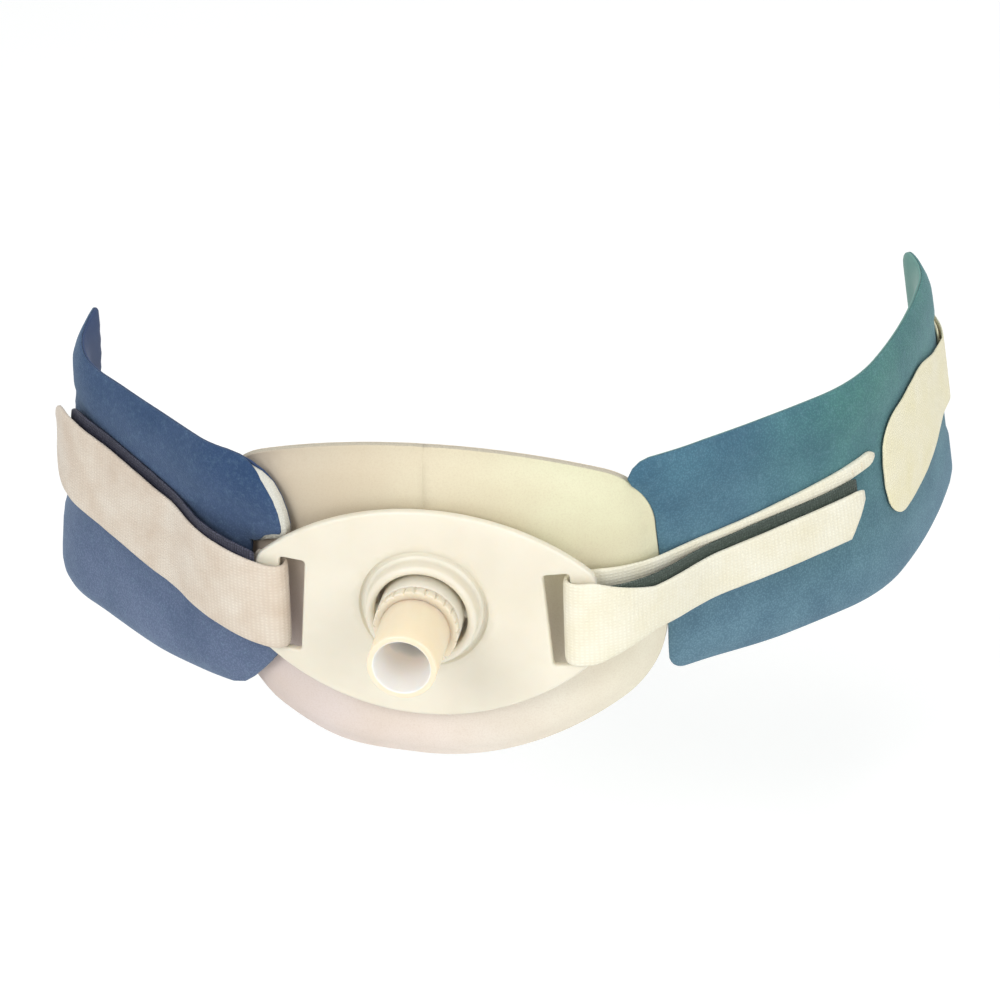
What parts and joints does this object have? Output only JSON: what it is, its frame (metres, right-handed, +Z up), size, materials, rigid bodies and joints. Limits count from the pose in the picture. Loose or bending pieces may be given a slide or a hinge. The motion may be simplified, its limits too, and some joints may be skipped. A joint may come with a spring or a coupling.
{
  "type": "tracheostomy tube holder",
  "caption": "Padded neck band with hook tabs through the slotted flange of a curved airway tube, over a keyhole foam dressing.",
  "frame": {"origin": "on the tube's axis at the back face of the dressing, where it meets the neck", "axes": "+Y into the neck, -Y towards the viewer along the connector, +Z up, +X to the viewer's right along the flange"},
  "size_m": [0.1992, 0.1582, 0.0848],
  "materials": {
    "ivory_plastic": "satin moulded",
    "tinted_plastic": "tinted translucent plastic",
    "cover_film": "fine non-woven film",
    "white_foam": "open foam",
    "loop_fabric": "brushed loop fabric",
    "band_foam": "laminated foam",
    "inner_fabric": "soft knitted lining",
    "lining": "soft knitted lining",
    "webbing": "plain woven tape",
    "hook_tape": "moulded hooks",
    "thread": "twisted thread"
  },
  "bodies": {
    "neck_plate": {"flange_plate": "ivory_plastic", "dressing_cover_film": "cover_film", "dressing_foam_core": "white_foam", "dressing_contact_layer": "lining"},
    "cannula": {"hub_body": "ivory_plastic", "pivot_pins": "ivory_plastic", "outer_cannula": "ivory_plastic"},
    "inner_tube": {"inner_cannula": "tinted_plastic", "connector_15mm": "tinted_plastic", "grip_ring": "tinted_plastic"},
    "left_strap": {"left_band_shell": "loop_fabric", "left_band_foam": "band_foam", "left_band_lining": "inner_fabric", "left_tab": "webbing", "left_tab_hook": "hook_tape", "left_tab_stitch": "thread"},
    "right_strap": {"right_band_shell": "loop_fabric", "right_band_foam": "band_foam", "right_band_lining": "inner_fabric", "right_tab": "webbing", "right_tab_hook": "hook_tape", "right_tab_stitch": "thread", "rear_tab_anchor": "webbing", "rear_tab_stitch": "thread"},
    "rear_closure": {"rear_tab": "webbing", "rear_tab_hook": "hook_tape"}
  },
  "joints": [
    {"name": "tube_tilt", "type": "hinge", "parent": "neck_plate", "child": "cannula", "pos_m": [0, -0.0096, 0], "axis": [1, 0, 0], "range_deg": [-10, 10]},
    {"name": "inner_tube_withdrawal", "type": "hinge", "parent": "cannula", "child": "inner_tube", "pos_m": [0, -0.0072, -0.05], "axis": [1, 0, 0], "range_deg": [0, 100]},
    {"name": "left_strap_swing", "type": "hinge", "parent": "neck_plate", "child": "left_strap", "pos_m": [-0.03555, -0.00557, -0.0019], "axis": [0.0785, 0, 0.9969], "range_deg": [0, 20]},
    {"name": "right_strap_swing", "type": "hinge", "parent": "neck_plate", "child": "right_strap", "pos_m": [0.03555, -0.00557, -0.0019], "axis": [0.0785, 0, -0.9969], "range_deg": [0, 20]},
    {"name": "rear_tab_fold", "type": "hinge", "parent": "right_strap", "child": "rear_closure", "pos_m": [0.09492, 0.12255, -0.0019], "axis": [-0.1045, 0, 0.9945], "range_deg": [0, 165]}
  ]
}
